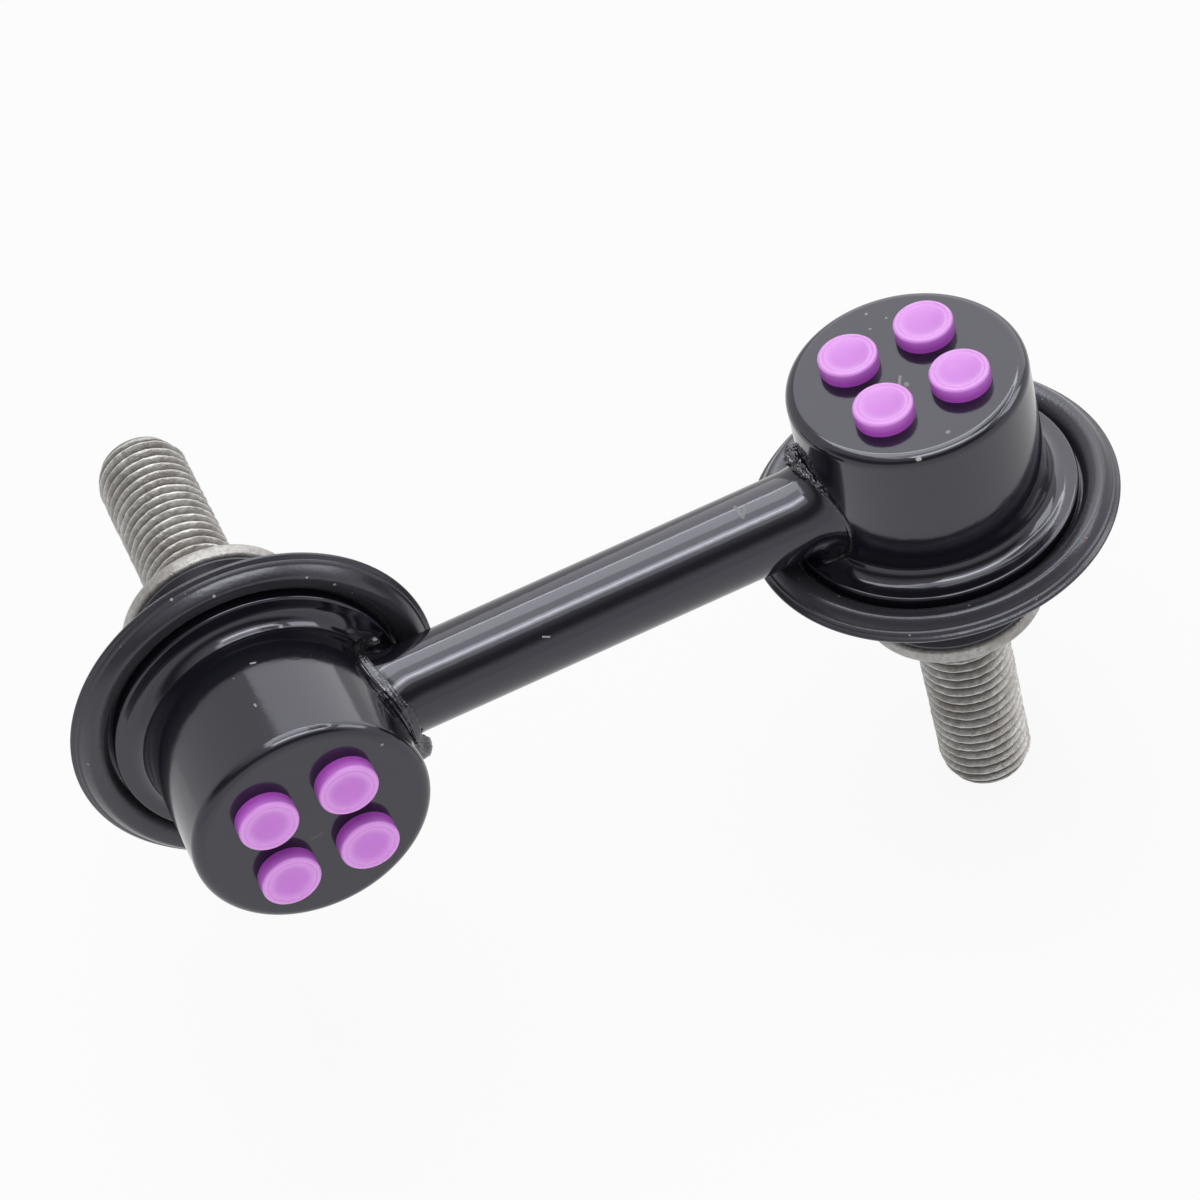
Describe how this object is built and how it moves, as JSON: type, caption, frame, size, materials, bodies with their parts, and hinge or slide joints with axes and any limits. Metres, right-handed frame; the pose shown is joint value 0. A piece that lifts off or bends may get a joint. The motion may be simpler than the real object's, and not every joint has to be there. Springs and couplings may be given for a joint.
{
  "type": "stabilizer link",
  "caption": "Short rod welded between drawn ball-joint cups at right angles, with rubber boots and threaded studs; joins a stabilizer bar to a suspension arm.",
  "frame": {"origin": "centre of the right stud's seating face, on the collar", "axes": "+X along the rod from the left joint to the right joint, +Y along the left stud, -Z along the right stud"},
  "size_m": [0.1076, 0.0643, 0.0643],
  "materials": {
    "black_paint": "satin gloss electrocoat",
    "weld_flash": "rough under paint",
    "purple_resin": "satin moulded",
    "boot_rubber": "satin moulded rubber",
    "stud_steel": "matt phosphate",
    "ball_steel": "ground",
    "ring_steel": "plated"
  },
  "bodies": {
    "link": {"link_rod": "black_paint", "left_cup": "black_paint", "left_weld": "weld_flash", "left_ball_seat": "purple_resin", "left_retaining_ring": "ring_steel", "right_cup": "black_paint", "right_weld": "weld_flash", "right_ball_seat": "purple_resin", "right_retaining_ring": "ring_steel"},
    "left_boot": {"left_boot": "boot_rubber"},
    "left_stud": {"left_ball": "ball_steel", "left_stud": "stud_steel"},
    "right_boot": {"right_boot": "boot_rubber"},
    "right_stud": {"right_ball": "ball_steel", "right_stud": "stud_steel"}
  },
  "joints": [
    {"name": "left_turn", "type": "hinge", "parent": "link", "child": "left_boot", "pos_m": [-0.07, 0.00105, 0.0205], "axis": [0, 1, 0], "continuous": true},
    {"name": "left_tilt", "type": "hinge", "parent": "left_boot", "child": "left_stud", "pos_m": [-0.07, 0.00105, 0.0205], "axis": [1, 0, 0], "range_deg": [-25, 25], "deforming": ["left_boot"]},
    {"name": "right_turn", "type": "hinge", "parent": "link", "child": "right_boot", "pos_m": [0, 0, 0.01945], "axis": [0, 0, -1], "continuous": true},
    {"name": "right_tilt", "type": "hinge", "parent": "right_boot", "child": "right_stud", "pos_m": [0, 0, 0.01945], "axis": [1, 0, 0], "range_deg": [-25, 25], "deforming": ["right_boot"]}
  ]
}
